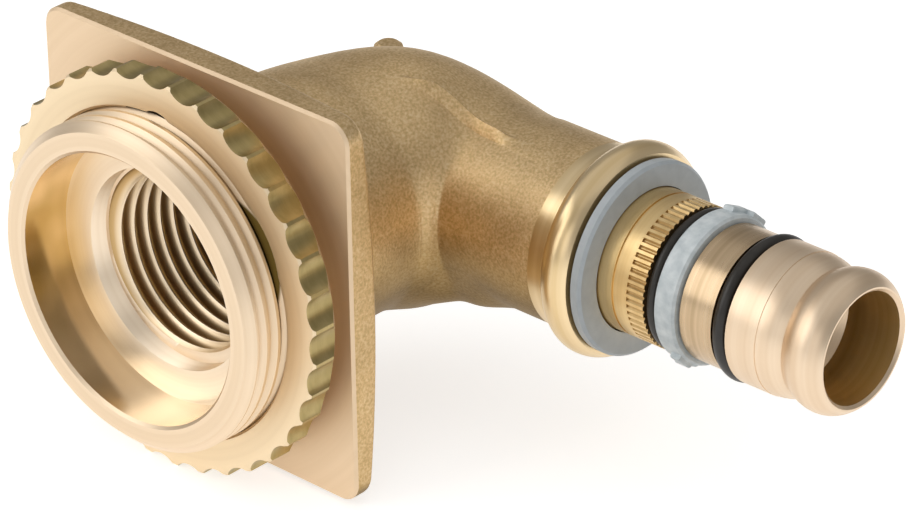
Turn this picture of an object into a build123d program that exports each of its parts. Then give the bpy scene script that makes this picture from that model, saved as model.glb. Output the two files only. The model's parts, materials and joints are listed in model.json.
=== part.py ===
from build123d import *
import math
import os

# A wall-box connection elbow: a cast body with a threaded socket and a stepped spigot,
# a lock ring on the socket's collar, and the washer and seals that sit on the spigot.
# The socket's axis is Y, with its mouth towards -Y. The spigot's axis is along X.
# The plate's front face is y = 0, and both axes lie in the plane z = 0.

# Driving dimensions of the plate, in millimetres
plate_side = 42.0
plate_corner_radius = 2.4
plate_edge_thickness = 3.6
plate_swell_radius = 160.0
plate_rear_round = 0.8
plate_front_edge = 0.3

# Collar in front of the plate, with a 35 x 1.5 thread outside
collar_radius = 17.5
collar_length = 10.4
collar_lead = 0.9
collar_pitch = 1.5
collar_thread_depth = 0.55
collar_crest_width = 0.35
collar_root_width = 0.2
collar_relief = 1.9

# Inside of the socket, with a half inch parallel pipe thread
counterbore_radius = 14.4
counterbore_depth = 5.9
counterbore_edge = 0.3
entry_step = 1.48
entry_length = 2.1
thread_radius = 9.3155
thread_lead = 0.35
thread_length = 14.5

# Barrel behind the plate and the bend
barrel_radius = 13.65
barrel_root_fillet = 2.2
barrel_root_sink = 0.05
bend_inner_radius = 2.0
bend_heel = 0.4
bend_shoulder = 0.4
bend_lead = 3.0
bend_steps = 4
barrel_wall = 5.2
arm_wall = 3.6
arm_setback = 28.4
arm_radius = 9.7

# Stub of the casting's feeder on top of the bend
stub_radius = 1.4
stub_taper = 1.6
stub_height = 11.3
stub_forward = 1.8
stub_aside = 2.4
stub_edge = 0.35

# Spigot, as lengths from the socket's axis towards its tip
arm_length = 27.0
band_length = 2.2
band_height = 0.1
bead_rear_length = 1.7
bead_front_length = 1.8
bead_height = 1.6
bead_rear_drop = 1.3
bead_front_drop = 0.8
shank_radius = 7.53
smooth_band_length = 3.35
line_width = 0.25
line_depth = 0.15
knurl_root_length = 1.66
knurl_length = 2.1
ring_groove_depth = 1.18
land_depth = 0.38
land_length = 3.93
seal_groove_depth = 1.53
tip_land_depth = 0.08
tip_land_length = 3.65
tip_step = 0.06
tip_shoulder_length = 2.4
tip_shoulder_drop = 0.6
waist_width = 0.6
waist_depth = 0.1
tip_bead_rear_length = 2.1
tip_bead_rise = 0.64
tip_bead_front_length = 2.4
tip_bead_fall = 1.1
spigot_wall = 2.38
tip_bore_step = 0.7
tip_bore_depth = 6.6
bore_mouth_edge = 0.3

# Lock ring
lock_width = 3.99
lock_thickness = 3.6
lock_stand_off = 2.15
lock_clearance = 0.06
lock_edge = 0.25
scallop_count = 36
scallop_radius = 1.95
scallop_depth = 0.75
scallop_turn = 3.2

# Washer that hangs on the spigot's shank, in front of the bead
washer_radius = 10.2
washer_thickness = 1.15
washer_bevel = 0.3
washer_hole_clearance = 0.13
washer_rest_gap = 0.08
washer_gap = 0.35

# Seals and retaining ring
rear_seal_wire = 0.56
rear_seal_side_gap = 0.19
front_seal_wire = 0.8
front_seal_side_gap = 0.22
seal_seat_clearance = 0.02
keeper_length = 2.6
keeper_rise = 0.25
keeper_edge = 0.25
keeper_lug_height = 0.45
keeper_lug_width = 2.4
keeper_lug_length = 1.2
keeper_front_lug_turns = (136.0, 316.0)
keeper_rear_lug_turns = (153.0, 333.0)
keeper_gap = 0.3

# Places worked out from the driving dimensions
collar_front = -collar_length
collar_turns = int((collar_length - collar_lead - collar_relief) / collar_pitch)
counterbore_floor = collar_front + counterbore_depth
thread_front = counterbore_floor + entry_length
thread_back = thread_front + thread_length
plate_swell = (plate_side / 2) ** 2 / (2 * plate_swell_radius)
plate_back = plate_edge_thickness + plate_swell
plate_middle = plate_edge_thickness / 2
entry_radius = thread_radius + entry_step
lock_radius = collar_radius + lock_clearance + lock_width
pivot_x = barrel_radius + bend_inner_radius
pivot_y = arm_setback - arm_radius - bend_inner_radius
barrel_end = pivot_y - bend_lead
arm_start = pivot_x + bend_lead
barrel_core_radius = barrel_radius - barrel_wall
arm_core_radius = arm_radius - arm_wall
spigot_axis = Axis((0, arm_setback, 0), (1, 0, 0))

band_radius = arm_radius + band_height
bead_radius = arm_radius + bead_height
ring_groove_radius = shank_radius - ring_groove_depth
ring_groove_length = 2 * (rear_seal_wire + rear_seal_side_gap) + keeper_length + keeper_gap
land_radius = shank_radius - land_depth
seal_groove_radius = shank_radius - seal_groove_depth
seal_groove_length = 2 * (front_seal_wire + front_seal_side_gap)
tip_land_radius = shank_radius - tip_land_depth
tip_shoulder_radius = tip_land_radius - tip_step
waist_radius = tip_shoulder_radius - tip_shoulder_drop
tip_bead_radius = waist_radius + tip_bead_rise
spigot_bore_radius = shank_radius - spigot_wall
tip_bore_radius = spigot_bore_radius + tip_bore_step
keeper_radius = shank_radius + keeper_rise

bead_start = arm_length + band_length
bead_crest = bead_start + bead_rear_length
shank_start = bead_crest + bead_front_length
line_start = shank_start + smooth_band_length
knurl_start = line_start + line_width + knurl_root_length
ring_groove_start = knurl_start + knurl_length
land_start = ring_groove_start + ring_groove_length
seal_groove_start = land_start + land_length
tip_land_start = seal_groove_start + seal_groove_length
tip_shoulder_start = tip_land_start + tip_land_length
waist_start = tip_shoulder_start + tip_shoulder_length
tip_bead_start = waist_start + waist_width
tip_bead_crest = tip_bead_start + tip_bead_rear_length
tip_end = tip_bead_crest + tip_bead_front_length


def about_socket(*lines):
    """A solid turned about the socket's axis from lines drawn as (radius, y)."""
    return revolve(make_face(Curve() + list(lines)), Axis.Y)


def at_spigot(x, radius):
    """A point of a spigot profile, at this place along the axis and this radius."""
    return (x, arm_setback + radius)


def about_spigot(*lines):
    """A solid turned about the spigot's axis from lines drawn with at_spigot."""
    return revolve(make_face(Curve() + list(lines)), spigot_axis)


def crown(crest, crest_radius, edge, edge_radius):
    """An arc of a spigot profile that is level at its crest and falls away to an edge."""
    reach = edge - crest
    drop = crest_radius - edge_radius
    curve = (reach ** 2 + drop ** 2) / (2 * drop)
    middle_drop = curve - math.sqrt(curve ** 2 - (reach / 2) ** 2)
    return ThreePointArc(at_spigot(crest, crest_radius),
                         at_spigot(crest + reach / 2, crest_radius - middle_drop),
                         at_spigot(edge, edge_radius))


def socket_cylinder(start, end, radius):
    """A plain cylinder on the socket's axis."""
    return about_socket(Polyline((0, start), (radius, start), (radius, end), (0, end), close=True))


def make_plate():
    """The square plate, flat in front and slightly swollen behind."""
    outline = Plane.XZ * RectangleRounded(plate_side, plate_side, plate_corner_radius)
    prism = extrude(outline, -plate_back)
    swell = Pos(0, plate_back - plate_swell_radius, 0) * Sphere(plate_swell_radius)
    plate = prism & swell
    front_edges = plate.faces().sort_by(Axis.Y)[0].edges()
    plate = chamfer(front_edges, plate_front_edge)
    rear_edges = plate.faces().sort_by(Axis.Y)[-1].edges()
    return fillet(rear_edges, plate_rear_round)


def plate_back_at(radius):
    """Where the plate's swollen back lies at this distance from the socket's axis."""
    return plate_back - plate_swell_radius + math.sqrt(plate_swell_radius ** 2 - radius ** 2)


def collar_thread():
    """The collar's outline along its thread, with a ring groove for each turn."""
    root = collar_radius - collar_thread_depth
    half_mouth = (collar_pitch - collar_crest_width) / 2
    half_root = collar_root_width / 2
    points = []
    for turn in range(collar_turns):
        middle = collar_front + collar_lead + (turn + 0.5) * collar_pitch
        points += [(collar_radius, middle - half_mouth), (root, middle - half_root),
                   (root, middle + half_root), (collar_radius, middle + half_mouth)]
    return points


def make_socket():
    """The collar that carries the lock ring, and the barrel with a hollow curve at its root."""
    lead = collar_radius - collar_lead
    foot = barrel_radius + barrel_root_fillet
    foot_y = plate_back_at(foot) - barrel_root_sink
    root_y = foot_y + barrel_root_fillet
    return about_socket(
        Polyline((0, collar_front), (lead, collar_front), (collar_radius, collar_front + collar_lead),
                 *collar_thread(), (collar_radius, plate_middle), (foot, plate_middle), (foot, foot_y)),
        RadiusArc((foot, foot_y), (barrel_radius, root_y), barrel_root_fillet),
        Polyline((barrel_radius, root_y), (barrel_radius, barrel_end), (0, barrel_end), (0, collar_front)))


def bend_shape(share):
    """Height and outer reach of the bend at this share of its quarter turn."""
    late = max(0.0, (share - bend_shoulder) / (1 - bend_shoulder))
    drop = late * late * (3 - 2 * late)
    height = barrel_radius + (arm_radius - barrel_radius) * drop
    start_reach = pivot_x + barrel_radius
    end_reach = bend_inner_radius + 2 * arm_radius
    reach = start_reach + (end_reach - start_reach) * share + bend_heel * math.sin(math.pi * share)
    return height, reach


def oval(centre, outward, half_width, height):
    """An oval section across the plane of the two axes, drawn as four quarter arcs."""
    quarters = [EllipticalCenterArc((0, 0), half_width, height, start) for start in (0, 90, 180, 270)]
    outline = Wire([quarter.edge() for quarter in quarters])
    return Plane(centre, x_dir=outward, z_dir=Vector(*outward).cross(Vector(0, 0, 1))) * Face(outline)


def barrel_section(y, radius):
    """A section of the barrel at this depth behind the plate's front."""
    return oval((0, y, 0), (-1, 0, 0), radius, radius)


def arm_section(x, radius):
    """A section of the arm at this distance from the socket's axis."""
    return oval((x, arm_setback, 0), (0, 1, 0), radius, radius)


def bend_section(share, wall):
    """A section of the bend, this far inside its skin, swung about the inside corner."""
    swing = share * math.pi / 2
    height, reach = bend_shape(share)
    middle = (reach + bend_inner_radius) / 2
    half_width = (reach - bend_inner_radius) / 2
    outward = (-math.cos(swing), math.sin(swing), 0)
    centre = (pivot_x + middle * outward[0], pivot_y + middle * outward[1], 0)
    return oval(centre, outward, half_width - wall, height - wall)


def loft_bend(barrel_size, arm_size, barrel_inset, arm_inset):
    """A bend from a round barrel to a round arm, drawn this far inside the casting's skin."""
    sections = [barrel_section(y, barrel_size) for y in (barrel_end, pivot_y)]
    for step in range(1, bend_steps):
        share = step / bend_steps
        sections.append(bend_section(share, barrel_inset + (arm_inset - barrel_inset) * share))
    sections += [arm_section(x, arm_size) for x in (pivot_x, arm_start)]
    return loft(sections)


def make_bend():
    """The skin of the bend, drawn out from sections along the way of the water."""
    return loft_bend(barrel_radius, arm_radius, 0, 0)


def make_bend_hollow():
    """The cored waterway round the bend, a wall's thickness inside the skin."""
    return loft_bend(barrel_core_radius, arm_core_radius, barrel_wall, arm_wall)


def make_spigot():
    """The arm and the turned spigot, with its bead, its grooves and its rounded tip."""
    bead_rear_radius = bead_radius - bead_rear_drop
    bead_front_radius = bead_radius - bead_front_drop
    waist_middle = (waist_start + tip_bead_start) / 2
    tip_face_radius = tip_bead_radius - tip_bead_fall
    root = Polyline(
        at_spigot(arm_start, 0),
        at_spigot(arm_start, arm_radius),
        at_spigot(arm_length, arm_radius),
        at_spigot(arm_length, band_radius),
        at_spigot(bead_start, band_radius),
        at_spigot(bead_start, bead_rear_radius))
    shank = Polyline(
        at_spigot(shank_start, bead_front_radius),
        at_spigot(shank_start, shank_radius),
        at_spigot(line_start, shank_radius),
        at_spigot(line_start, shank_radius - line_depth),
        at_spigot(line_start + line_width, shank_radius - line_depth),
        at_spigot(line_start + line_width, shank_radius),
        at_spigot(ring_groove_start, shank_radius),
        at_spigot(ring_groove_start, ring_groove_radius),
        at_spigot(land_start, ring_groove_radius),
        at_spigot(land_start, land_radius),
        at_spigot(seal_groove_start, land_radius),
        at_spigot(seal_groove_start, seal_groove_radius),
        at_spigot(tip_land_start, seal_groove_radius),
        at_spigot(tip_land_start, tip_land_radius),
        at_spigot(tip_shoulder_start, tip_land_radius),
        at_spigot(tip_shoulder_start, tip_shoulder_radius))
    waist = Polyline(at_spigot(waist_start, waist_radius), at_spigot(waist_middle, waist_radius - waist_depth),
                     at_spigot(tip_bead_start, waist_radius))
    curves = [
        crown(bead_crest, bead_radius, bead_start, bead_rear_radius),
        crown(bead_crest, bead_radius, shank_start, bead_front_radius),
        crown(tip_shoulder_start, tip_shoulder_radius, waist_start, waist_radius),
        *waist.edges(),
        crown(tip_bead_crest, tip_bead_radius, tip_bead_start, waist_radius),
        crown(tip_bead_crest, tip_bead_radius, tip_end, tip_face_radius),
    ]
    close = Polyline(at_spigot(tip_end, tip_face_radius), at_spigot(tip_end, 0), at_spigot(arm_start, 0))
    return about_spigot(*root.edges(), *shank.edges(), *curves, *close.edges())


def make_stub():
    """The trimmed stub of the feeder, standing on the bend and wider at its foot."""
    place = Pos(-stub_aside, arm_setback + stub_forward, arm_radius / 2)
    stub = place * Cone(stub_radius + stub_taper, stub_radius, stub_height - arm_radius / 2,
                        align=(Align.CENTER, Align.CENTER, Align.MIN))
    return chamfer(stub.edges().sort_by(Axis.Z)[-1], stub_edge)


def make_socket_hollow():
    """The counterbore, the entry and the thread's core."""
    edge = counterbore_edge
    lead_radius = thread_radius + thread_lead
    return about_socket(Polyline(
        (0, collar_front), (counterbore_radius + edge, collar_front),
        (counterbore_radius, collar_front + edge), (counterbore_radius, counterbore_floor),
        (entry_radius, counterbore_floor), (entry_radius, thread_front),
        (lead_radius, thread_front), (thread_radius, thread_front + thread_lead),
        (thread_radius, thread_back), (0, thread_back), close=True))


def make_arm_hollow():
    """The cored waterway in the arm, up to the drilled bore."""
    return about_spigot(Polyline(
        at_spigot(arm_start, 0), at_spigot(arm_start, arm_core_radius),
        at_spigot(arm_length, arm_core_radius), at_spigot(arm_length, 0), close=True))


def make_spigot_hollow():
    """The bore through the spigot, widened in the tip, with its bevelled mouth."""
    mouth = tip_bore_radius + bore_mouth_edge
    tip_bore_start = tip_end - tip_bore_depth
    return about_spigot(Polyline(
        at_spigot(arm_start, 0), at_spigot(arm_start, spigot_bore_radius),
        at_spigot(tip_bore_start - tip_bore_step, spigot_bore_radius),
        at_spigot(tip_bore_start, tip_bore_radius),
        at_spigot(tip_end - bore_mouth_edge, tip_bore_radius),
        at_spigot(tip_end, mouth), at_spigot(tip_end, 0), close=True))


def make_elbow_body():
    """The whole casting, with its turned and bored faces."""
    body = make_plate() + make_socket() + make_bend() + make_spigot() + make_stub()
    barrel_hollow = socket_cylinder(thread_front, barrel_end, barrel_core_radius)
    body = body - make_socket_hollow() - barrel_hollow - make_bend_hollow()
    return body - make_arm_hollow() - make_spigot_hollow()


def make_lock_ring():
    """The ring nut on the collar, scalloped for the fingers all round its rim."""
    bore = collar_radius + lock_clearance
    back = -lock_stand_off
    front = back - lock_thickness
    edge = lock_edge
    ring = about_socket(Polyline(
        (bore + edge, front), (lock_radius - edge, front), (lock_radius, front + edge),
        (lock_radius, back - edge), (lock_radius - edge, back), (bore + edge, back),
        (bore, back - edge), (bore, front + edge), close=True))
    reach = lock_radius - scallop_depth + scallop_radius
    scallop = socket_cylinder(front - edge, back + edge, scallop_radius)
    cutters = []
    for step in range(scallop_count):
        turn = math.radians(scallop_turn + (step + 0.5) * 360 / scallop_count)
        cutters.append(Pos(reach * math.cos(turn), 0, reach * math.sin(turn)) * scallop)
    return ring - cutters


def make_washer():
    """The loose bevelled washer, hanging by the top of its hole on the shank."""
    back = shank_start + washer_gap
    front = back + washer_thickness
    hole = shank_radius + washer_hole_clearance
    washer = about_spigot(Polyline(
        at_spigot(back, hole), at_spigot(front, hole), at_spigot(front, washer_radius - washer_bevel),
        at_spigot(front - washer_bevel, washer_radius), at_spigot(back, washer_radius), close=True))
    return Pos(0, 0, washer_rest_gap - washer_hole_clearance) * washer


def make_seal(middle, seat, wire):
    """A round-section seal lying on the floor of its groove."""
    ring = Torus(seat + seal_seat_clearance + wire, wire)
    return Pos(middle, arm_setback, 0) * Rot(0, 90, 0) * ring


def make_keeper_ring(start):
    """The plastic ring in front of the rear seal, with two rows of small lugs on its rim."""
    end = start + keeper_length
    bore = ring_groove_radius + seal_seat_clearance
    edge = keeper_edge
    ring = about_spigot(Polyline(
        at_spigot(start, bore), at_spigot(end, bore), at_spigot(end, keeper_radius - edge),
        at_spigot(end - edge, keeper_radius), at_spigot(start + edge, keeper_radius),
        at_spigot(start, keeper_radius - edge), close=True))
    lug_middle = (bore + keeper_radius + keeper_lug_height) / 2
    lug_depth = keeper_radius + keeper_lug_height - bore
    lug = Box(keeper_lug_length, keeper_lug_width, lug_depth)
    lug = fillet(lug.faces().sort_by(Axis.Z)[-1].edges(), keeper_edge)
    front_row = end - edge - keeper_lug_length / 2
    rear_row = start + edge + keeper_lug_length / 2
    places = [(front_row, turn) for turn in keeper_front_lug_turns]
    places += [(rear_row, turn) for turn in keeper_rear_lug_turns]
    for place, turn in places:
        ring += Pos(0, arm_setback, 0) * Rot(turn, 0, 0) * Pos(place, 0, lug_middle) * lug
    return ring


keeper_start = land_start - keeper_gap - keeper_length
rear_seal_middle = (ring_groove_start + keeper_start) / 2
front_seal_middle = (seal_groove_start + tip_land_start) / 2

parts = {
    "elbow_body": make_elbow_body(),
    "lock_ring": make_lock_ring(),
    "stop_washer": make_washer(),
    "rear_seal": make_seal(rear_seal_middle, ring_groove_radius, rear_seal_wire),
    "keeper_ring": make_keeper_ring(keeper_start),
    "front_seal": make_seal(front_seal_middle, seal_groove_radius, front_seal_wire),
}

os.makedirs("parts", exist_ok=True)
for name, solid in parts.items():
    export_step(solid, f"parts/{name}.step")
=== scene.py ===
"""A cast brass connection elbow with its lock ring, washer, keeper ring and seals."""
import json
import math

import bpy
from mathutils import Matrix, Vector

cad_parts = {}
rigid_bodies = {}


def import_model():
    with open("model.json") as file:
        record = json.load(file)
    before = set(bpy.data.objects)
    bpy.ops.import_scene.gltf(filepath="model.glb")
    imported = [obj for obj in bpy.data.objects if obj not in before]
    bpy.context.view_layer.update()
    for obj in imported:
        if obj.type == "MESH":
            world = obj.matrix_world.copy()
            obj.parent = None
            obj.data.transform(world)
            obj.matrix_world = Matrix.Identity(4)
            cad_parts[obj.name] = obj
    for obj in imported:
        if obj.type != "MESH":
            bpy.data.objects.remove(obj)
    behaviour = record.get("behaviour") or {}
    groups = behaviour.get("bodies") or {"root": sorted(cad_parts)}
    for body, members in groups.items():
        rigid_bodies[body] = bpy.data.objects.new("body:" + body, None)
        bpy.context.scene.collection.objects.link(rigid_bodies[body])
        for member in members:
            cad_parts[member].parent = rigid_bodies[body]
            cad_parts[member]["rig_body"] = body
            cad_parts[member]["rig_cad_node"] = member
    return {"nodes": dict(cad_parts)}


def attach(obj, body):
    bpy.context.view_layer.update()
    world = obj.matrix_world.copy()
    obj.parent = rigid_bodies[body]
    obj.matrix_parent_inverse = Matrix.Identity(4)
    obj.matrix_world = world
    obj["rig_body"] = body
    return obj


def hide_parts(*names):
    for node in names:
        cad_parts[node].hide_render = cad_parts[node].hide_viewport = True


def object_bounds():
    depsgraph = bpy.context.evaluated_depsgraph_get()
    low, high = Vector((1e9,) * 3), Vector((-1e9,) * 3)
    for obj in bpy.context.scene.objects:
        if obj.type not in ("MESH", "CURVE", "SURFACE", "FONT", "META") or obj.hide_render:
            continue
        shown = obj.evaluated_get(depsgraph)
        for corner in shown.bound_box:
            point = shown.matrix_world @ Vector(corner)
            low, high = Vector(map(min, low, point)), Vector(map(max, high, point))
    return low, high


MM = 0.001

# Joining and smoothing of the meshes
MERGE_DISTANCE = 0.0005 * MM
SHARP_DEGREES = 32
SLIVER_SIDES = 6

# How far a cutter reaches past what it cuts, and how near a face has to lie to a place
CUTTER_MARGIN = 0.08 * MM
ENVELOPE_MARGIN = 1.0 * MM
FACE_MARGIN = 0.01 * MM
EDGE_MARGIN = 0.05 * MM
WALL_MARGIN = 0.1 * MM

# Share of a face's normal along an axis: past the first it faces that way, below the second it is a wall
FACING = 0.6
STANDING = 0.3

# Socket: its axis is Y and the plate's front face is y = 0
SOCKET_CENTRE = (0, 0, 0)
PLATE_FRONT_DEPTH = 0.32 * MM
COUNTERBORE_RADIUS = 14.4 * MM
COUNTERBORE_FLOOR = -4.5 * MM
# Below this height the counterbore's wall turns paler with painted light
PAINTED_LIGHT_WALL_TOP = -5.0 * MM
DISH_SLOPE = 0.18
ENTRY_SLOPE = 0.9

# Half inch pipe thread in the socket, with its wave as shares of the pitch
THREAD_CORE_RADIUS = 9.3155 * MM
THREAD_PITCH = 1.814 * MM
THREAD_FRONT = -2.4 * MM
THREAD_BACK = 12.1 * MM
THREAD_DEPTH = 1.162 * MM
THREAD_TURN = math.radians(-150)
THREAD_STEPS = 96
THREAD_WAVE_STEPS = 7
THREAD_WAVE_SHARE = 0.46
THREAD_EDGE_SHARE = 0.48

# Lock ring: its fluted rim, with a cone that leaves the rim smooth at the back
RING_FRONT = -5.75 * MM
RING_BACK = -2.15 * MM
RING_RADIUS = 21.55 * MM
RING_BACK_RADIUS = 20.72 * MM
RING_BACK_SLOPE = 0.9
RING_BACK_STEPS = 288
RING_BACK_MARGIN = 0.001 * MM
FLUTE_COUNT = 36
FLUTE_TURN = math.radians(3.2)
FLUTE_RADIUS = 2.4 * MM
FLUTE_DEPTH = 0.77 * MM
FLUTE_STEPS = 24

# Openings at the start of the ring's thread: degrees round the ring, then a drum's distance and radius
RING_OPENINGS = ((31.0, 9.0 * MM, 9.2 * MM), (87.0, 15.52 * MM, 2.7 * MM))
RING_OPENING_DEPTH = 2.4 * MM
RING_OPENING_SPREAD = 15
RING_OPENING_REACH = 18.4 * MM
RING_OPENING_STEPS = 96

# Collar inside the ring, dark with painted shade within a drum that is given in the same way; the shade is on
# the casting, so it stays put when the ring turns
COLLAR_CORE_RADIUS = 16.5 * MM
GAP_PAINTED_SHADE = (28.0, 8.3 * MM, 9.4 * MM)
GAP_EDGE = 0.1 * MM

# Spigot: its axis runs along X at this depth behind the plate's front
ARM_SETBACK = 28.4 * MM
SPIGOT_CENTRE = (0, ARM_SETBACK, 0)
BAND_START = 27.0 * MM
SHANK_START = 32.7 * MM
SHANK_RADIUS = 7.53 * MM
FRONT_SEAL_END = 50.43 * MM
BORE_RADIUS = 6.2 * MM
BEAD_RADIUS = 11.5 * MM

# Knurled band of the spigot, with its grooves as shares of the pitch
KNURL_START = 37.96 * MM
KNURL_END = 40.06 * MM
KNURL_TEETH = 60
KNURL_DEPTH = 0.22 * MM
# Faces deeper than this in the knurl's grooves take painted shade
KNURL_GAP_DEPTH = 0.08 * MM
KNURL_HALF_SHARE = 0.4
KNURL_FLAT_SHARE = 0.2

# Crease of the casting, from the barrel's shoulder along the top of the arm, in millimetres
CREASE = ((5.83, 22.14, 13.24), (7.91, 23.30, 12.83), (9.34, 24.25, 12.27),
          (10.76, 24.77, 11.43), (12.27, 25.19, 10.42), (14.03, 25.49, 9.55),
          (16.07, 25.49, 9.24), (18.18, 25.40, 9.22), (20.27, 25.63, 9.29))
CREASE_HEIGHT = 0.85 * MM
CREASE_FRONT = 1.15 * MM
CREASE_REAR = 0.5 * MM
CREASE_FADE = 3.5 * MM
CREASE_GRID = (60, 18)
CREASE_HEADING_SHARE = 0.08

# Web of the casting under its inner corner, from the barrel to the arm
WEB_START = Vector((10.1, 23.5, -11.6)) * MM
WEB_END = Vector((21.4, 22.4, -7.7)) * MM
WEB_OUTWARDS = Vector((0.264, -0.408, -0.874))
WEB_HEIGHT = 1.4 * MM
WEB_HALF_LENGTH = 6.3 * MM
WEB_HALF_WIDTH = 5.5 * MM
WEB_GRID = (40, 30)

# Both are shells laid over the casting, sunk a little at their borders
SHELL_SUNK = 0.03 * MM
SHELL_THICKNESS = 0.8 * MM

# Floor and room
FLOOR_SIZE = 8
FLOOR_GREY = 0.85
FLOOR_ROUGHNESS = 0.9
FLOOR_GLOW = 0.66
ROOM_COLOUR = (1.0, 0.98, 0.95)
ROOM_BRIGHTNESS = 0.33

# Camera, fitted to the photograph
CAMERA_AIM = Vector((18.57, 17.284, -0.657)) * MM
CAMERA_AZIMUTH = math.radians(43.183)
CAMERA_ELEVATION = math.radians(28.612)
CAMERA_ROLL = math.radians(-0.937)
CAMERA_DISTANCE = 523.39 * MM
CAMERA_LENS = 208.618
CAMERA_CLIP = (0.01, 50)
SENSOR_WIDTH = 36.0

# Finishes of the elbow's faces, in the order of its material slots
(CAST, SOCKET, COUNTERBORE, DISH, PLATE_FRONT, THREAD, BEAD,
 SHANK, KNURL_GAP, LAND, TIP, BORE, GAP) = range(13)

# Finishes of the ring's faces, in the order of its material slots
RING_FACE, RING_FLUTE_SHADE, RING_OPENING_SHADE = range(3)


def clear_selection():
    """Deselect everything, so that a new primitive stands alone."""
    bpy.ops.object.select_all(action="DESELECT")


def pick(piece):
    """Make this piece the only one that is selected, and the active one."""
    clear_selection()
    piece.select_set(True)
    bpy.context.view_layer.objects.active = piece


def edit_whole(piece):
    """Open the piece in edit mode with all of its mesh selected."""
    pick(piece)
    bpy.ops.object.mode_set(mode="EDIT")
    bpy.ops.mesh.select_all(action="SELECT")


def leave_edit():
    """Go back to object mode."""
    bpy.ops.object.mode_set(mode="OBJECT")


def turn_faces_outwards():
    """Point all faces of the open mesh outwards, and leave edit mode."""
    bpy.ops.mesh.select_all(action="SELECT")
    bpy.ops.mesh.normals_make_consistent(inside=False)
    leave_edit()


def apply_all_modifiers(piece):
    """Apply the piece's modifiers in their order."""
    pick(piece)
    for modifier in list(piece.modifiers):
        bpy.ops.object.modifier_apply(modifier=modifier.name)


def merged_copy(node, name):
    """A copy of a CAD node's mesh with its loose triangles joined."""
    piece = node.copy()
    piece.data = node.data.copy()
    piece.name = name
    piece.data.name = name
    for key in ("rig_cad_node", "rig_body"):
        del piece[key]
    piece.parent = None
    bpy.context.scene.collection.objects.link(piece)
    edit_whole(piece)
    bpy.ops.mesh.remove_doubles(threshold=MERGE_DISTANCE)
    bpy.ops.mesh.customdata_custom_splitnormals_clear()
    leave_edit()
    piece.data.materials.clear()
    return piece


def outline_loop(name, points):
    """A closed flat loop of edges through these points."""
    clear_selection()
    bpy.ops.mesh.primitive_circle_add(vertices=len(points), radius=MM, fill_type="NOTHING")
    loop = bpy.context.active_object
    loop.name = name
    for vertex, point in zip(loop.data.vertices, points):
        vertex.co = point
    return loop


def make_prism(name, points, move):
    """A closed prism, from an outline that is drawn out along a straight way."""
    prism = outline_loop(name, points)
    edit_whole(prism)
    bpy.ops.mesh.edge_face_add()
    bpy.ops.mesh.extrude_region_move(TRANSFORM_OT_translate={"value": move})
    turn_faces_outwards()
    return prism


def make_coil(name, points, pitch, turns, steps, turn):
    """A closed helical cutter about the Y axis, from the outline that it sweeps."""
    coil = outline_loop(name, points)
    screw = coil.modifiers.new("screw", "SCREW")
    screw.axis = "Y"
    screw.angle = math.tau
    screw.screw_offset = pitch
    screw.iterations = turns
    screw.steps = steps
    screw.render_steps = steps
    screw.use_smooth_shade = False
    apply_all_modifiers(coil)
    edit_whole(coil)
    bpy.ops.mesh.region_to_loop()
    bpy.ops.mesh.edge_face_add()
    turn_faces_outwards()
    coil.data.transform(Matrix.Rotation(turn, 4, "Y"))
    return coil


def lay_along_y(piece, place):
    """Turn a new primitive from the Z axis to the Y axis, and move it to its place."""
    piece.data.transform(Matrix.Translation(place) @ Matrix.Rotation(math.radians(90), 4, "X"))


def combine(piece, other, operation):
    """Add the other volume to the piece, take it out, or keep only what both share."""
    pick(piece)
    boolean = piece.modifiers.new("combine", "BOOLEAN")
    boolean.operation = operation
    boolean.solver = "EXACT"
    boolean.object = other
    bpy.ops.object.modifier_apply(modifier=boolean.name)
    bpy.data.objects.remove(other)


def close_small_holes(piece):
    """Fill any sliver that a cut has left open."""
    edit_whole(piece)
    bpy.ops.mesh.fill_holes(sides=SLIVER_SIDES)
    leave_edit()


def finish_piece(piece, body, node):
    """Smooth the piece with its sharp edges kept, and let it stand for its CAD node."""
    pick(piece)
    bpy.ops.object.shade_smooth_by_angle(angle=math.radians(SHARP_DEGREES))
    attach(piece, body)
    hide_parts(node)


def socket_thread_cutter():
    """The groove of the pipe thread: a rounded wave, open a little inside the core."""
    start = THREAD_FRONT - THREAD_PITCH
    inside = THREAD_CORE_RADIUS - CUTTER_MARGIN
    edge = THREAD_EDGE_SHARE * THREAD_PITCH
    points = [(inside, start - edge, 0)]
    for step in range(-THREAD_WAVE_STEPS, THREAD_WAVE_STEPS + 1):
        share = THREAD_WAVE_SHARE * step / THREAD_WAVE_STEPS
        rise = THREAD_DEPTH * 0.5 * (1 + math.cos(math.tau * share))
        points.append((THREAD_CORE_RADIUS + rise, start + share * THREAD_PITCH, 0))
    points.append((inside, start + edge, 0))
    turns = int((THREAD_BACK - start) / THREAD_PITCH)
    return make_coil("socket_thread_cutter", points, THREAD_PITCH, turns, THREAD_STEPS, THREAD_TURN)


def knurl_cutter():
    """The straight grooves of the knurled band, as one ring of wedges."""
    half = KNURL_HALF_SHARE * math.tau * SHANK_RADIUS / KNURL_TEETH
    flat = KNURL_FLAT_SHARE * half
    deep = SHANK_RADIUS - KNURL_DEPTH
    proud = SHANK_RADIUS + CUTTER_MARGIN
    outline = [(KNURL_START, -half, proud), (KNURL_START, -flat, deep),
               (KNURL_START, flat, deep), (KNURL_START, half, proud)]
    wedge = make_prism("knurl_cutter", outline, (KNURL_END - KNURL_START, 0, 0))
    wedges = [wedge]
    for step in range(1, KNURL_TEETH):
        copy = wedge.copy()
        copy.data = wedge.data.copy()
        copy.data.transform(Matrix.Rotation(step * math.tau / KNURL_TEETH, 4, "X"))
        bpy.context.scene.collection.objects.link(copy)
        wedges.append(copy)
    pick(wedge)
    for piece in wedges:
        piece.select_set(True)
    bpy.ops.object.join()
    wedge.data.transform(Matrix.Translation(SPIGOT_CENTRE))
    return wedge


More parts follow.
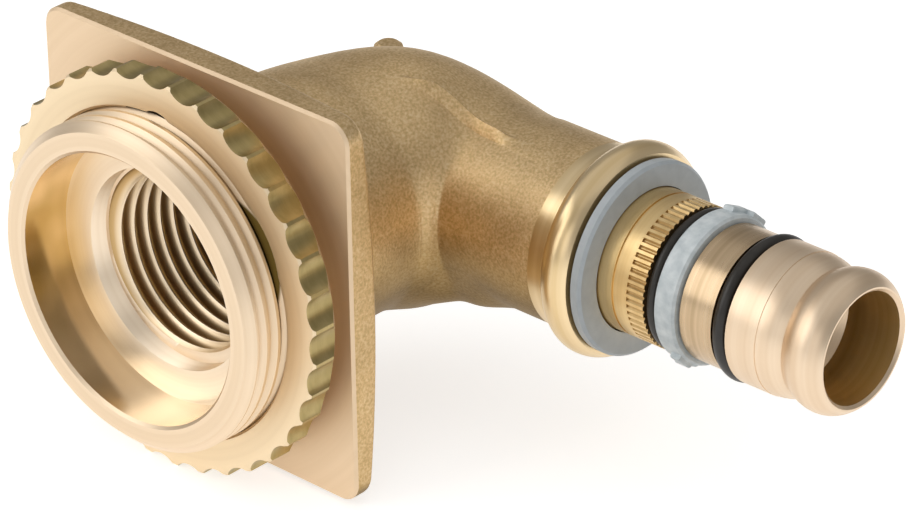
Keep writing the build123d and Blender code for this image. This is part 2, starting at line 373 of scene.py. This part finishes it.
def drum_centre(degrees, reach):
    """The place, at this angle and distance from the socket's axis, that a drum stands at."""
    turn = math.radians(degrees)
    return reach * math.cos(turn), reach * math.sin(turn)


def opening_cutter(degrees, reach, radius):
    """A short drum across the ring's front face, to open the start of the thread."""
    clear_selection()
    bpy.ops.mesh.primitive_cylinder_add(vertices=RING_OPENING_STEPS, radius=radius,
                                        depth=2 * RING_OPENING_DEPTH)
    drum = bpy.context.active_object
    x, z = drum_centre(degrees, reach)
    lay_along_y(drum, (x, RING_FRONT, z))
    return drum


def rim_radius(turn):
    """The ring's radius at an angle, with broad flutes that leave narrow lands."""
    pitch = math.tau / FLUTE_COUNT
    aside = (turn - FLUTE_TURN) % pitch - pitch / 2
    reach = RING_RADIUS - FLUTE_DEPTH + FLUTE_RADIUS
    half = reach * math.sin(aside)
    bottom = reach * math.cos(aside) - math.sqrt(max(0, FLUTE_RADIUS ** 2 - half ** 2))
    return min(bottom, RING_RADIUS + EDGE_MARGIN)


def fluted_envelope():
    """A prism round the ring with the outline of its rim."""
    points = []
    for step in range(FLUTE_COUNT * FLUTE_STEPS):
        turn = FLUTE_TURN + math.tau * step / (FLUTE_COUNT * FLUTE_STEPS)
        radius = rim_radius(turn)
        points.append((radius * math.cos(turn), RING_FRONT - ENVELOPE_MARGIN, radius * math.sin(turn)))
    return make_prism("fluted_envelope", points, (0, RING_BACK - RING_FRONT + 2 * ENVELOPE_MARGIN, 0))


def ring_envelope():
    """A cone that leaves the ring a smooth rim at the back, below its flutes."""
    length = 2 * (RING_BACK - RING_FRONT)
    clear_selection()
    bpy.ops.mesh.primitive_cone_add(vertices=RING_BACK_STEPS, radius1=RING_BACK_RADIUS, depth=length,
                                    radius2=RING_BACK_RADIUS + RING_BACK_SLOPE * length)
    cone = bpy.context.active_object
    lay_along_y(cone, (0, RING_BACK - length / 2 + RING_BACK_MARGIN, 0))
    return cone


def at_opening(point):
    """True for a point in one of the openings at the start of the ring's thread."""
    turn = math.degrees(math.atan2(point.z, point.x))
    near = any(abs(turn - opening[0]) < RING_OPENING_SPREAD for opening in RING_OPENINGS)
    return near and math.hypot(point.x, point.z) < RING_OPENING_REACH


def path_point(path, share):
    """A point of a path, from 0 at its start to 1 at its end."""
    place = share * (len(path) - 1)
    step = min(int(place), len(path) - 2)
    return Vector(path[step]).lerp(Vector(path[step + 1]), place - step) * MM


def smooth_step(share):
    """A smooth rise from 0 to 1."""
    share = max(0.0, min(1.0, share))
    return share * share * (3 - 2 * share)


def add_sheet(grid, size):
    """A flat square grid, to be laid over the casting."""
    clear_selection()
    bpy.ops.mesh.primitive_grid_add(x_subdivisions=grid[0], y_subdivisions=grid[1], size=size)
    return bpy.context.active_object


def close_shell(sheet):
    """Give a sheet that is laid over the casting a closed thickness, inwards."""
    solidify = sheet.modifiers.new("solidify", "SOLIDIFY")
    solidify.thickness = SHELL_THICKNESS
    solidify.offset = -1
    apply_all_modifiers(sheet)
    edit_whole(sheet)
    turn_faces_outwards()


def make_crease(casting):
    """The casting's crease, with a long front slope and a short rear one."""
    length = sum((Vector(b) - Vector(a)).length for a, b in zip(CREASE, CREASE[1:])) * MM
    sheet = add_sheet(CREASE_GRID, 1)
    for vertex in sheet.data.vertices:
        share = vertex.co.x + 0.5
        across = -CREASE_FRONT + (CREASE_FRONT + CREASE_REAR) * (vertex.co.y + 0.5)
        before = path_point(CREASE, max(0, share - CREASE_HEADING_SHARE))
        after = path_point(CREASE, min(1, share + CREASE_HEADING_SHARE))
        rear = Vector((0, 0, 1)).cross(after - before).normalized()
        place = path_point(CREASE, share) + rear * across
        surface, normal = casting.closest_point_on_mesh(place)[1:3]
        slope = 1 - abs(across) / (CREASE_FRONT if across < 0 else CREASE_REAR)
        ends = smooth_step(min(share, 1 - share) * length / CREASE_FADE)
        vertex.co = surface + normal * ((CREASE_HEIGHT + SHELL_SUNK) * slope * ends - SHELL_SUNK)
    close_shell(sheet)
    return sheet


def make_web(casting):
    """The smooth web that fills the casting's inner corner from below."""
    along = (WEB_END - WEB_START).normalized()
    across = WEB_OUTWARDS.cross(along).normalized()
    outwards = along.cross(across)
    middle = (WEB_START + WEB_END) / 2
    sheet = add_sheet(WEB_GRID, 2)
    for vertex in sheet.data.vertices:
        place = middle + along * (vertex.co.x * WEB_HALF_LENGTH) + across * (vertex.co.y * WEB_HALF_WIDTH)
        surface = casting.ray_cast(place + outwards * WEB_HALF_LENGTH, -outwards)[1]
        rise = smooth_step(1 - abs(vertex.co.x)) * smooth_step(1 - abs(vertex.co.y))
        vertex.co = surface + outwards * ((WEB_HEIGHT + SHELL_SUNK) * rise - SHELL_SUNK)
    close_shell(sheet)
    return sheet


def new_material(name):
    """An empty material, with its nodes, links and shader."""
    material = bpy.data.materials.new(name)
    material.use_nodes = True
    tree = material.node_tree
    return material, tree.nodes, tree.links, tree.nodes["Principled BSDF"]


def new_brass(name):
    """A new material that is a metal."""
    material, nodes, links, shader = new_material(name)
    shader.inputs["Metallic"].default_value = 1.0
    return material, nodes, links, shader


def add_noise(nodes, links, vector, scale, detail):
    """A noise pattern read on these coordinates."""
    noise = nodes.new("ShaderNodeTexNoise")
    noise.inputs["Scale"].default_value = scale
    noise.inputs["Detail"].default_value = detail
    links.new(vector, noise.inputs["Vector"])
    return noise.outputs["Fac"]


def add_ramp(nodes, links, value, stops):
    """A colour ramp over a value, from (place, colour) pairs."""
    ramp = nodes.new("ShaderNodeValToRGB")
    ramp.color_ramp.elements[0].position = stops[0][0]
    ramp.color_ramp.elements[0].color = (*stops[0][1], 1)
    ramp.color_ramp.elements[1].position = stops[-1][0]
    ramp.color_ramp.elements[1].color = (*stops[-1][1], 1)
    for place, colour in stops[1:-1]:
        ramp.color_ramp.elements.new(place).color = (*colour, 1)
    links.new(value, ramp.inputs["Fac"])
    return ramp.outputs["Color"]


def add_range(nodes, links, value, low, high):
    """A value from 0 to 1 spread from low to high."""
    spread = nodes.new("ShaderNodeMapRange")
    spread.inputs["To Min"].default_value = low
    spread.inputs["To Max"].default_value = high
    links.new(value, spread.inputs["Value"])
    return spread.outputs["Result"]


def share_between(nodes, links, value, start, end):
    """How far a value has come from start to end, from 0 to 1."""
    share = nodes.new("ShaderNodeMapRange")
    share.inputs["From Min"].default_value = start
    share.inputs["From Max"].default_value = end
    links.new(value, share.inputs["Value"])
    return share.outputs["Result"]


def add_bump(nodes, links, shader, height, strength, distance):
    """Surface relief from a height."""
    bump = nodes.new("ShaderNodeBump")
    bump.inputs["Strength"].default_value = strength
    bump.inputs["Distance"].default_value = distance
    links.new(height, bump.inputs["Height"])
    links.new(bump.outputs["Normal"], shader.inputs["Normal"])


def multiply_colours(nodes, links, first, second):
    """Two colours multiplied."""
    mix = nodes.new("ShaderNodeMix")
    mix.data_type = "RGBA"
    mix.blend_type = "MULTIPLY"
    mix.inputs["Factor"].default_value = 1.0
    links.new(first, mix.inputs["A"])
    links.new(second, mix.inputs["B"])
    return mix.outputs["Result"]


def split_axes(nodes, links, vector):
    """The three values of a vector, by the names of their axes."""
    split = nodes.new("ShaderNodeSeparateXYZ")
    links.new(vector, split.inputs["Vector"])
    return split.outputs


def object_coordinates(nodes):
    """The piece's own coordinates, in metres."""
    return nodes.new("ShaderNodeTexCoord").outputs["Object"]


def turning_coordinates(nodes, links, along, centre):
    """Coordinates that run outwards from a turning axis, as X, and along it, as Y."""
    place = nodes.new("ShaderNodeMapping")
    place.inputs["Location"].default_value = [-c for c in centre]
    links.new(object_coordinates(nodes), place.inputs["Vector"])
    across = nodes.new("ShaderNodeVectorMath")
    across.operation = "MULTIPLY"
    across.inputs[1].default_value = [0 if axis == along else 1 for axis in "XYZ"]
    links.new(place.outputs["Vector"], across.inputs[0])
    radius = nodes.new("ShaderNodeVectorMath")
    radius.operation = "LENGTH"
    links.new(across.outputs["Vector"], radius.inputs[0])
    joined = nodes.new("ShaderNodeCombineXYZ")
    links.new(radius.outputs["Value"], joined.inputs["X"])
    links.new(split_axes(nodes, links, place.outputs["Vector"])[along], joined.inputs["Y"])
    return joined.outputs["Vector"]


def make_cast_skin():
    """Sand-cast brass: matt, with a fine even grain and faint patches, and painted shade that darkens the
    faces that look down.
    """
    material, nodes, links, shader = new_brass("cast_skin")
    place = object_coordinates(nodes)
    speckle_stops = [(0.34, (0.70, 0.50, 0.24)), (0.50, (0.86, 0.62, 0.33)), (0.68, (0.97, 0.76, 0.46))]
    patch_stops = [(0.35, (0.86, 0.85, 0.84)), (0.65, (1, 1, 1))]
    painted_underside_shade_stops = [(0.0, (0.36, 0.33, 0.25)), (0.2, (0.64, 0.61, 0.52)),
                       (0.42, (1, 1, 1)), (1.0, (0.9, 0.9, 0.9))]
    grain = add_noise(nodes, links, place, scale=3600, detail=5)
    speckle = add_ramp(nodes, links, grain, speckle_stops)
    patches = add_ramp(nodes, links, add_noise(nodes, links, place, scale=170, detail=3), patch_stops)
    skin = multiply_colours(nodes, links, speckle, patches)
    # Painted shade: darkest on faces that look down, full on faces that stand or lean up, a little darker
    # again on faces that look straight up.
    facing = split_axes(nodes, links, nodes.new("ShaderNodeTexCoord").outputs["Normal"])["Z"]
    lean = share_between(nodes, links, facing, start=-0.5, end=1.0)
    painted_underside_shade = add_ramp(nodes, links, lean, painted_underside_shade_stops)
    links.new(multiply_colours(nodes, links, skin, painted_underside_shade), shader.inputs["Base Color"])
    links.new(add_range(nodes, links, grain, low=0.46, high=0.6), shader.inputs["Roughness"])
    add_bump(nodes, links, shader, grain, strength=0.4, distance=0.08 * MM)
    return material


def start_turned_brass(name, along, centre, colours, roughness):
    """Turned brass before it has its relief, with the pattern of its fine marks."""
    material, nodes, links, shader = new_brass(name)
    lathe = turning_coordinates(nodes, links, along, centre)
    marks = add_noise(nodes, links, lathe, scale=5200, detail=2)
    bands = add_noise(nodes, links, lathe, scale=900, detail=3)
    tone = add_ramp(nodes, links, bands, [(0.35, colours[0]), (0.65, colours[1])])
    links.new(tone, shader.inputs["Base Color"])
    gloss = add_range(nodes, links, marks, low=roughness - 0.05, high=roughness + 0.06)
    links.new(gloss, shader.inputs["Roughness"])
    return material, nodes, links, shader, marks


def make_turned_brass(name, along, centre, colours, roughness):
    """Turned brass with fine marks round its axis."""
    material, nodes, links, shader, marks = start_turned_brass(name, along, centre, colours, roughness)
    add_bump(nodes, links, shader, marks, strength=0.06, distance=0.02 * MM)
    return material


def make_dished_brass(name, colours, roughness):
    """Turned brass of the counterbore's floor and the thread's entry, shaded as if both were dished."""
    material, nodes, links, shader = start_turned_brass(name, "Y", SOCKET_CENTRE, colours, roughness)[:4]
    lean = nodes.new("ShaderNodeVectorMath")
    lean.operation = "DOT_PRODUCT"
    lean.inputs[1].default_value = (DISH_SLOPE, ENTRY_SLOPE, 0)
    links.new(turning_coordinates(nodes, links, "Y", SOCKET_CENTRE), lean.inputs[0])
    add_bump(nodes, links, shader, lean.outputs["Value"], strength=1.0, distance=1.0)
    return material


def make_reflection_painted_brass(name, colours, roughness):
    """Smooth brass with broad darker blotches of painted reflection, and painted light that makes it paler
    towards the bottom of the counterbore.
    """
    material, nodes, links, shader = new_brass(name)
    place = object_coordinates(nodes)
    # Painted reflection: broad noise blotches darken the colour.
    reflection_blotches = add_noise(nodes, links, place, scale=110, detail=2)
    painted_reflections = add_ramp(nodes, links, reflection_blotches, [(0.38, colours[0]), (0.56, colours[1])])
    # Painted light: lower down the wall the colour fades towards the pale third colour.
    height = split_axes(nodes, links, place)["Z"]
    mix = nodes.new("ShaderNodeMix")
    mix.data_type = "RGBA"
    links.new(share_between(nodes, links, height, PAINTED_LIGHT_WALL_TOP, -COUNTERBORE_RADIUS), mix.inputs["Factor"])
    links.new(painted_reflections, mix.inputs["A"])
    mix.inputs["B"].default_value = (*colours[2], 1)
    links.new(mix.outputs["Result"], shader.inputs["Base Color"])
    shader.inputs["Roughness"].default_value = roughness
    return material


def make_thread_brass_with_painted_shade():
    """The pipe thread, with painted light at its crests and painted shade down in its grooves."""
    material, nodes, links, shader = new_brass("threaded_brass")
    # Painted shade: the colour darkens from the crests down into the grooves.
    stops = [(0.05, (0.90, 0.74, 0.54)), (0.3, (0.80, 0.62, 0.40)),
             (0.6, (0.58, 0.39, 0.18)), (0.95, (0.48, 0.31, 0.13))]
    radius = split_axes(nodes, links, turning_coordinates(nodes, links, "Y", SOCKET_CENTRE))["X"]
    depth = share_between(nodes, links, radius, THREAD_CORE_RADIUS, THREAD_CORE_RADIUS + THREAD_DEPTH)
    links.new(add_ramp(nodes, links, depth, stops), shader.inputs["Base Color"])
    shader.inputs["Roughness"].default_value = 0.36
    return material


def make_gap_painted_shade_brass():
    """The collar's thread inside the lock ring, with painted shade that makes it dark behind the opening at
    the start of the ring's thread.
    """
    material, nodes, links, shader = new_brass("collar_gap_painted_shade")
    degrees, reach, radius = GAP_PAINTED_SHADE
    x, z = drum_centre(degrees, reach)
    stops = [(0.0, (0.14, 0.09, 0.02)), (1.0, (0.80, 0.63, 0.44))]
    distance = split_axes(nodes, links, turning_coordinates(nodes, links, "Y", (x, 0, z)))["X"]
    edge = share_between(nodes, links, distance, radius - GAP_EDGE, radius + GAP_EDGE)
    links.new(add_ramp(nodes, links, edge, stops), shader.inputs["Base Color"])
    shader.inputs["Roughness"].default_value = 0.42
    return material


def make_plastic(name, dark, light, roughness):
    """Moulded plastic or rubber with a faint mottle."""
    material, nodes, links, shader = new_material(name)
    place = object_coordinates(nodes)
    mottle = add_noise(nodes, links, place, scale=900, detail=4)
    links.new(add_ramp(nodes, links, mottle, [(0.3, dark), (0.7, light)]), shader.inputs["Base Color"])
    grain = add_noise(nodes, links, place, scale=4200, detail=3)
    gloss = add_range(nodes, links, grain, low=roughness - 0.06, high=roughness + 0.06)
    links.new(gloss, shader.inputs["Roughness"])
    add_bump(nodes, links, shader, grain, strength=0.1, distance=0.03 * MM)
    return material


def make_floor_white():
    """A white floor that still takes the object's shadow."""
    material, nodes, links, shader = new_material("floor_white")
    shader.inputs["Base Color"].default_value = (FLOOR_GREY, FLOOR_GREY, FLOOR_GREY, 1)
    shader.inputs["Roughness"].default_value = FLOOR_ROUGHNESS
    shader.inputs["Specular IOR Level"].default_value = 0.0
    path = nodes.new("ShaderNodeLightPath")
    seen = path.outputs["Is Camera Ray"]
    for ray in ("Is Glossy Ray", "Is Transmission Ray"):
        either = nodes.new("ShaderNodeMath")
        either.operation = "MAXIMUM"
        links.new(seen, either.inputs[0])
        links.new(path.outputs[ray], either.inputs[1])
        seen = either.outputs["Value"]
    glow = nodes.new("ShaderNodeMath")
    glow.operation = "MULTIPLY"
    glow.inputs[1].default_value = FLOOR_GLOW
    links.new(seen, glow.inputs[0])
    shader.inputs["Emission Color"].default_value = (1, 1, 1, 1)
    links.new(glow.outputs["Value"], shader.inputs["Emission Strength"])
    return material


def socket_brass(name, dark, light, roughness):
    """Brass turned about the socket's axis."""
    return make_turned_brass(name, "Y", SOCKET_CENTRE, (dark, light), roughness)


def spigot_brass(name, dark, light, roughness):
    """Brass turned about the spigot's axis."""
    return make_turned_brass(name, "X", SPIGOT_CENTRE, (dark, light), roughness)


def elbow_finishes():
    """The elbow's finishes, in the order of its material slots."""
    # The counterbore wall's colours: two tones of painted reflection, then the pale painted light of its
    # bottom
    wall = ((0.70, 0.49, 0.19), (0.97, 0.73, 0.39), (1.0, 0.90, 0.74))
    dish = ((0.86, 0.70, 0.52), (0.93, 0.78, 0.60))
    return (
        make_cast_skin(),
        socket_brass("turned_socket", (0.80, 0.63, 0.44), (0.87, 0.70, 0.51), 0.4),
        make_reflection_painted_brass("counterbore_wall", wall, 0.16),
        make_dished_brass("counterbore_floor", dish, 0.36),
        socket_brass("plate_front", (0.83, 0.65, 0.45), (0.86, 0.68, 0.48), 0.58),
        make_thread_brass_with_painted_shade(),
        spigot_brass("golden_bead", (0.76, 0.57, 0.31), (0.88, 0.69, 0.42), 0.3),
        spigot_brass("golden_shank", (0.78, 0.55, 0.25), (0.92, 0.69, 0.36), 0.36),
        spigot_brass("knurl_gap_painted_shade", (0.56, 0.39, 0.18), (0.66, 0.47, 0.23), 0.4),
        spigot_brass("turned_land", (0.47, 0.34, 0.20), (0.70, 0.53, 0.35), 0.28),
        spigot_brass("turned_tip", (0.78, 0.60, 0.42), (0.85, 0.68, 0.50), 0.4),
        spigot_brass("spigot_bore", (0.72, 0.52, 0.22), (0.86, 0.65, 0.32), 0.48),
        make_gap_painted_shade_brass(),
    )


def elbow_finish(polygon):
    """The finish of one face of the elbow, from where it lies."""
    x, y, z = polygon.center
    socket_radius = math.hypot(x, z)
    spigot_radius = math.hypot(y - ARM_SETBACK, z)
    if x > BAND_START - FACE_MARGIN and spigot_radius < BEAD_RADIUS:
        if spigot_radius < BORE_RADIUS and polygon.normal.x < FACING:
            return BORE
        # Painted shade: faces down in the knurl's grooves take a darker brass.
        if KNURL_START < x < KNURL_END and spigot_radius < SHANK_RADIUS - KNURL_GAP_DEPTH:
            return KNURL_GAP
        ends = ((SHANK_START, BEAD), (KNURL_END, SHANK), (FRONT_SEAL_END, LAND))
        return next((finish for end, finish in ends if x < end + FACE_MARGIN), TIP)
    if THREAD_FRONT < y < THREAD_BACK and socket_radius < THREAD_CORE_RADIUS + THREAD_DEPTH + EDGE_MARGIN:
        return THREAD
    if y < -FACE_MARGIN:
        if socket_radius < COUNTERBORE_RADIUS - WALL_MARGIN and y > COUNTERBORE_FLOOR - WALL_MARGIN:
            return DISH
        # Painted shade: the collar's faces inside the ring take the dark gap material.
        if socket_radius > COLLAR_CORE_RADIUS and RING_FRONT - EDGE_MARGIN < y < RING_BACK:
            return GAP
        near_wall = abs(socket_radius - COUNTERBORE_RADIUS) < 2 * WALL_MARGIN
        return COUNTERBORE if near_wall and abs(polygon.normal.y) < STANDING else SOCKET
    if y < PLATE_FRONT_DEPTH and polygon.normal.y < -FACING:
        return PLATE_FRONT
    return CAST


def make_elbow(nodes):
    """The casting with its crease and its web laid on, and its thread and its knurl cut."""
    elbow = merged_copy(nodes["elbow_body"], "elbow_casting")
    crease = make_crease(elbow)
    web = make_web(elbow)
    combine(elbow, crease, "UNION")
    combine(elbow, web, "UNION")
    combine(elbow, socket_thread_cutter(), "DIFFERENCE")
    combine(elbow, knurl_cutter(), "DIFFERENCE")
    for finish in elbow_finishes():
        elbow.data.materials.append(finish)
    for polygon in elbow.data.polygons:
        polygon.material_index = elbow_finish(polygon)
    finish_piece(elbow, "elbow", "elbow_body")


def ring_finish(polygon):
    """The finish of one face of the ring, from where it lies."""
    # Painted shade: faces inside the openings are dark.
    if at_opening(polygon.center) and polygon.center.y > RING_FRONT + EDGE_MARGIN:
        return RING_OPENING_SHADE
    # Painted shade: faces that do not face along the axis, the flutes, take a darker copy of the face's
    # brass.
    return RING_FACE if abs(polygon.normal.y) > FACING else RING_FLUTE_SHADE


def make_lock_ring(nodes):
    """The ring nut with a satin face, flutes darkened with painted shade, and openings at the start of its
    thread that are dark with painted shade.
    """
    ring = merged_copy(nodes["lock_ring"], "ring_nut")
    combine(ring, ring_envelope(), "INTERSECT")
    combine(ring, fluted_envelope(), "INTERSECT")
    for opening in RING_OPENINGS:
        combine(ring, opening_cutter(*opening), "DIFFERENCE")
    close_small_holes(ring)
    ring.data.materials.append(socket_brass("ring_face", (0.84, 0.68, 0.46), (0.90, 0.74, 0.51), 0.5))
    ring.data.materials.append(socket_brass("ring_flutes_painted_shade", (0.40, 0.31, 0.13), (0.50, 0.39, 0.18), 0.34))
    ring.data.materials.append(socket_brass("ring_opening_painted_shade", (0.10, 0.07, 0.03), (0.14, 0.10, 0.04), 0.5))
    for polygon in ring.data.polygons:
        polygon.material_index = ring_finish(polygon)
    finish_piece(ring, "ring", "lock_ring")


def make_plain(nodes, node, name, material):
    """A moulded piece of one material."""
    piece = merged_copy(nodes[node], name)
    piece.data.materials.append(material)
    finish_piece(piece, "elbow", node)


def make_floor(low):
    """A plain floor under the lowest point of the object."""
    clear_selection()
    bpy.ops.mesh.primitive_plane_add(size=FLOOR_SIZE, location=(0, 0, low))
    floor = bpy.context.active_object
    floor.name = "floor"
    floor.data.materials.append(make_floor_white())


def add_softbox(name, place, size, brightness):
    """A large soft lamp of this brightness, aimed at the object."""
    lamp = bpy.data.lights.new(name, "AREA")
    lamp.shape = "RECTANGLE"
    lamp.size = size[0]
    lamp.size_y = size[1]
    lamp.energy = brightness * math.pi * size[0] * size[1]
    holder = bpy.data.objects.new(name, lamp)
    holder.location = place
    holder.rotation_euler = (CAMERA_AIM - Vector(place)).to_track_quat("-Z", "Y").to_euler()
    bpy.context.scene.collection.objects.link(holder)


def light_the_scene():
    """Broad soft light from the front left, with a dimmer room behind."""
    world = bpy.data.worlds.new("studio")
    bpy.context.scene.world = world
    world.use_nodes = True
    background = world.node_tree.nodes["Background"]
    background.inputs["Color"].default_value = (*ROOM_COLOUR, 1)
    background.inputs["Strength"].default_value = ROOM_BRIGHTNESS
    add_softbox("top", place=(0.1, 0.2, 2.2), size=(4.0, 3.2), brightness=0.3)
    add_softbox("key", place=(-1.5, -2.0, 1.3), size=(2.6, 2.2), brightness=1.65)
    add_softbox("fill", place=(1.0, -2.4, 0.9), size=(1.6, 1.4), brightness=0.9)


def place_camera():
    """The camera at the photograph's place."""
    flat = math.cos(CAMERA_ELEVATION)
    aside = math.sin(CAMERA_AZIMUTH) * flat
    towards = -math.cos(CAMERA_AZIMUTH) * flat
    back = Vector((aside, towards, math.sin(CAMERA_ELEVATION)))
    data = bpy.data.cameras.new("camera")
    data.sensor_width = SENSOR_WIDTH
    data.lens = CAMERA_LENS
    data.clip_start = CAMERA_CLIP[0]
    data.clip_end = CAMERA_CLIP[1]
    camera = bpy.data.objects.new("camera", data)
    turn = (-back).to_track_quat("-Z", "Y").to_matrix().to_4x4() @ Matrix.Rotation(CAMERA_ROLL, 4, "Z")
    camera.matrix_world = Matrix.Translation(CAMERA_AIM + back * CAMERA_DISTANCE) @ turn
    bpy.context.scene.collection.objects.link(camera)
    bpy.context.scene.camera = camera


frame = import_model()
cad_low, cad_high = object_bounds()

cad = frame["nodes"]
make_elbow(cad)
make_lock_ring(cad)
grey = make_plastic("grey_plastic", (0.50, 0.55, 0.585), (0.56, 0.61, 0.645), 0.4)
pale = make_plastic("pale_plastic", (0.58, 0.65, 0.68), (0.82, 0.88, 0.90), 0.42)
rubber = make_plastic("black_rubber", (0.014, 0.011, 0.008), (0.026, 0.021, 0.016), 0.36)
make_plain(cad, "stop_washer", "washer", grey)
make_plain(cad, "keeper_ring", "keeper", pale)
make_plain(cad, "rear_seal", "rear_o_ring", rubber)
make_plain(cad, "front_seal", "front_o_ring", rubber)

make_floor(cad_low.z)
light_the_scene()
place_camera()
bpy.context.scene.view_settings.view_transform = "Standard"
